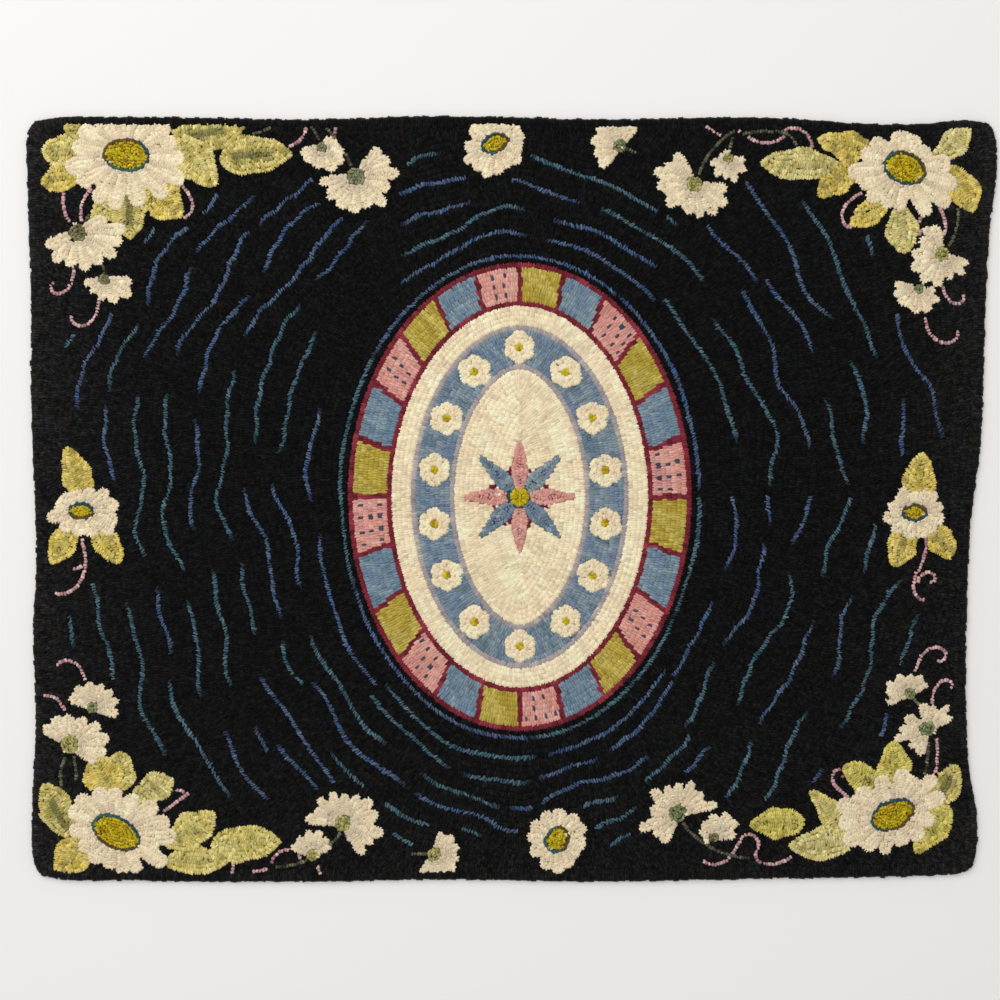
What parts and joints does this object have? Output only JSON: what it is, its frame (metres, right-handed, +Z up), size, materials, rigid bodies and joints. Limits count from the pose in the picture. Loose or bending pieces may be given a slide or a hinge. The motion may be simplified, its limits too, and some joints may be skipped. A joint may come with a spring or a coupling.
{
  "type": "hooked rug",
  "caption": "Flat rectangular hooked rug of short wool loops with a flower border round a plain medallion, laid face up on a floor.",
  "frame": {"origin": "on the floor, under the middle of the rug's outline", "axes": "+Z up through the pile, +X along the longer side, +Y along the shorter side"},
  "size_m": [0.9314, 0.734, 0.006],
  "materials": {
    "hooked_wool": "hooked wool loops, matt, near black ground with cream, gold, green, blue and pink motifs"
  },
  "bodies": {
    "root": {"hooked_rug": "hooked_wool"}
  },
  "joints": []
}
